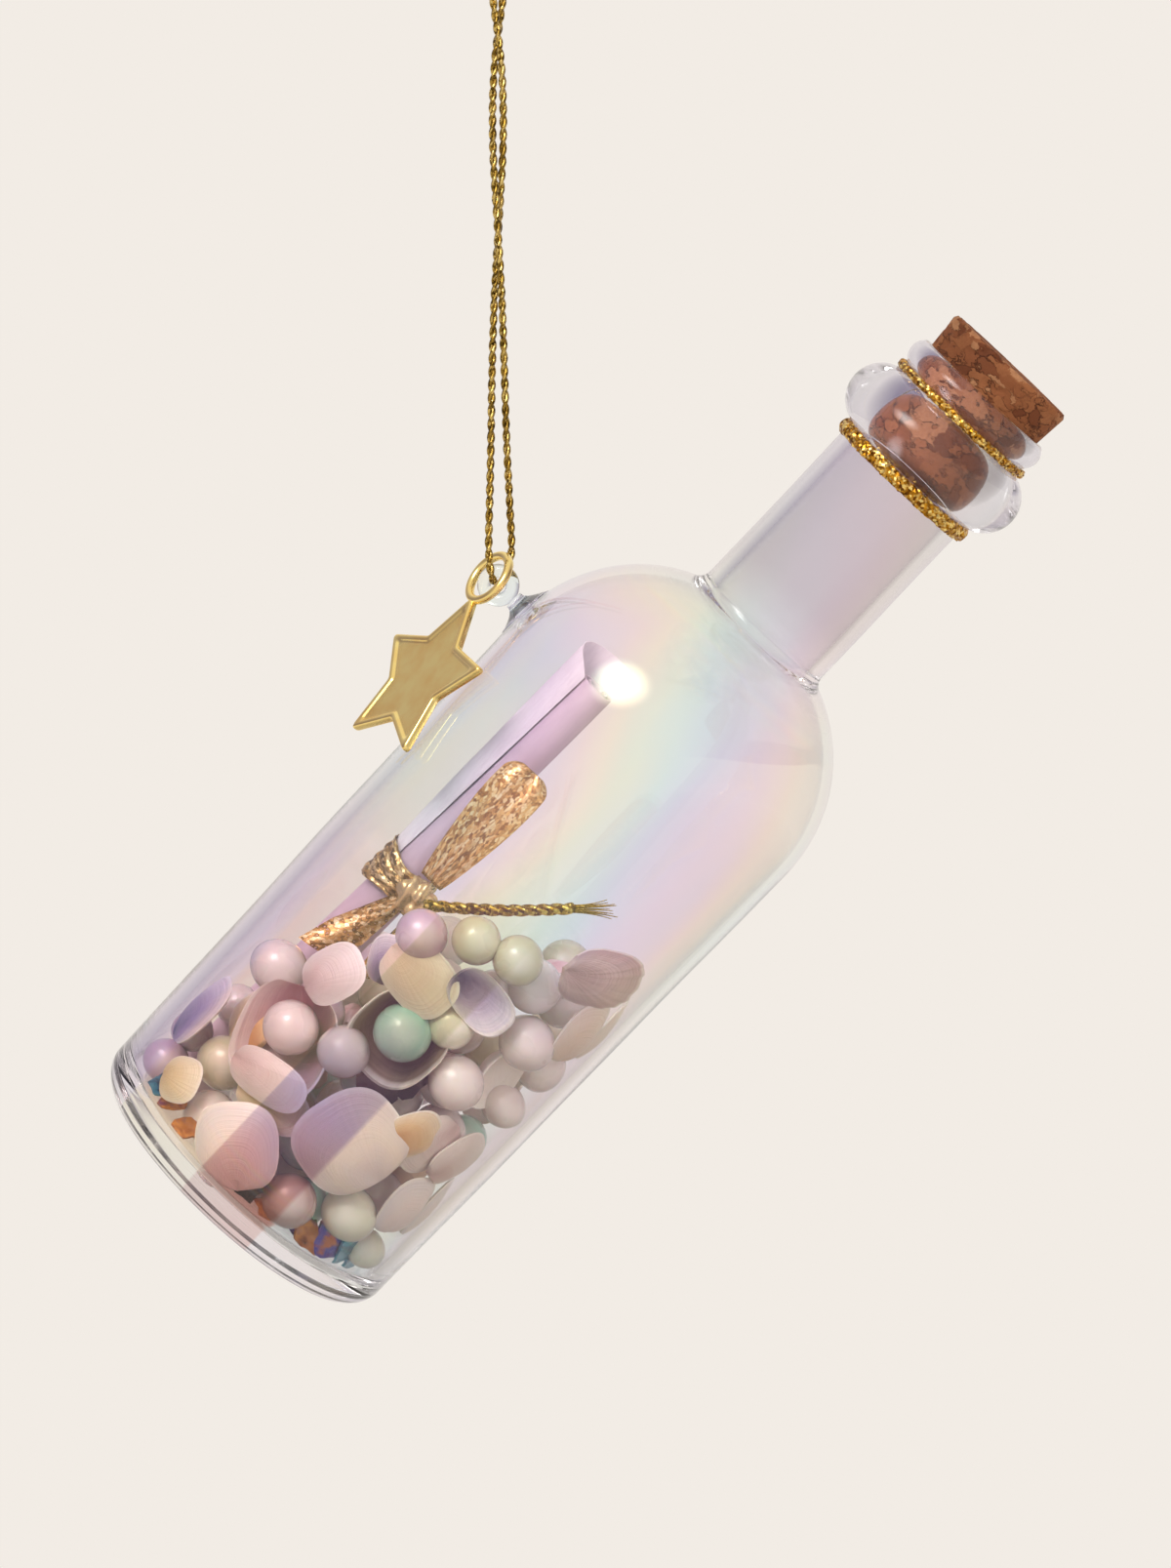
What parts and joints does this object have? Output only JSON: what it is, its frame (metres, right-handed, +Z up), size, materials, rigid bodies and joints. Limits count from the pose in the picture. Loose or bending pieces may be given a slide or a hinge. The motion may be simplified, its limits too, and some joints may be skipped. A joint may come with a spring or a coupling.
{
  "type": "message in a bottle ornament",
  "caption": "Corked opal glass bottle with a rolled message, pearls and shells inside, hung tilted by a glass eyelet from a gold cord with a star tag.",
  "frame": {"origin": "the hang point: centre of the small loop at the top of the cord, where a hook passes", "axes": "+Z up along the hanging cord, +X to the side the bottle neck rises to, +Y away from the side shown"},
  "size_m": [0.0986, 0.0382, 0.1439],
  "materials": {
    "opal_glass": "clear blown glass with an opal sheen",
    "cork": "natural cork",
    "gold_glitter": "glitter in clear glue",
    "gold_cord": "metallic thread",
    "gold_metal": "satin face, polished rim",
    "pink_paper": "matt",
    "gold_ribbon": "metallic mesh",
    "pearl_white": "pearl coat",
    "pearl_pink": "pearl coat",
    "pearl_mint": "pearl coat",
    "pearl_cream": "pearl coat",
    "pearl_lilac": "pearl coat",
    "shell_white": "smooth shell",
    "shell_pink": "smooth shell",
    "shell_lilac": "smooth shell",
    "shell_cream": "smooth shell",
    "shell_dark": "dark-lined shell"
  },
  "bodies": {
    "cord": {"hanging_cord": "gold_cord", "cord_knot": "gold_cord"},
    "bottle": {"glass_bottle": "opal_glass", "glass_eyelet": "opal_glass", "glitter_band_upper": "gold_glitter", "glitter_band_lower": "gold_glitter", "pearl_bronze": "pearl_cream", "pearl_champagne": "pearl_cream", "pearl_green": "pearl_mint", "pearl_heap_cream": "pearl_cream", "pearl_heap_lilac": "pearl_lilac", "pearl_heap_mint": "pearl_mint", "pearl_heap_pink": "pearl_pink", "pearl_heap_white": "pearl_white", "pearl_lilac": "pearl_lilac", "pearl_mint": "pearl_mint", "pearl_pink": "pearl_pink", "pearl_rear_cream": "pearl_cream", "pearl_rear_mint": "pearl_mint", "pearl_rear_pink": "pearl_pink", "pearl_rear_white": "pearl_white", "pearl_right": "pearl_white", "pearl_rose": "pearl_pink", "pearl_small_low": "pearl_mint", "pearl_small_right": "pearl_white", "pearl_snow": "pearl_white", "pearl_violet": "pearl_lilac", "pearl_white": "pearl_white", "shell_cream": "shell_cream", "shell_dark_cup": "shell_dark", "shell_flakes": "shell_dark", "shell_heap_cream": "shell_cream", "shell_heap_pink": "shell_pink", "shell_heap_white": "shell_white", "shell_lilac_fan": "shell_lilac", "shell_pale": "shell_white", "shell_pink_cup": "shell_pink", "shell_pink_right": "shell_pink", "shell_pink_small": "shell_pink", "shell_purple_edge": "shell_lilac", "shell_purple_small": "shell_lilac", "shell_rear_left": "shell_lilac", "shell_rear_low": "shell_cream", "shell_rear_middle": "shell_pink", "shell_rear_right": "shell_pink", "shell_rear_top": "shell_cream", "shell_rear_upper": "shell_white", "shell_ribbed": "shell_cream", "shell_white_fan": "shell_white", "shell_yellow": "shell_cream", "ribbon_knot": "gold_ribbon", "ribbon_lower_tail_left": "gold_ribbon", "ribbon_lower_tail_right": "gold_ribbon", "ribbon_tail": "gold_ribbon", "ribbon_upper_loop": "gold_ribbon", "ribbon_wrap": "gold_ribbon", "message_scroll": "pink_paper"},
    "cork": {"cork": "cork"},
    "star_tag": {"star_tag": "gold_metal"}
  },
  "joints": [
    {"name": "bottle_rock", "type": "hinge", "parent": "cord", "child": "bottle", "pos_m": [0, 0, -0.0639], "axis": [0, 1, 0], "range_deg": [-12, 12]},
    {"name": "cork_pull", "type": "slide", "parent": "bottle", "child": "cork", "axis": [0.6884, 0, 0.7254], "range_m": [0, 0.02]},
    {"name": "star_flap", "type": "hinge", "parent": "bottle", "child": "star_tag", "pos_m": [-0.0008, -0.0009, -0.06314], "axis": [-0.6884, 0, -0.7254], "range_deg": [0, 15]}
  ]
}
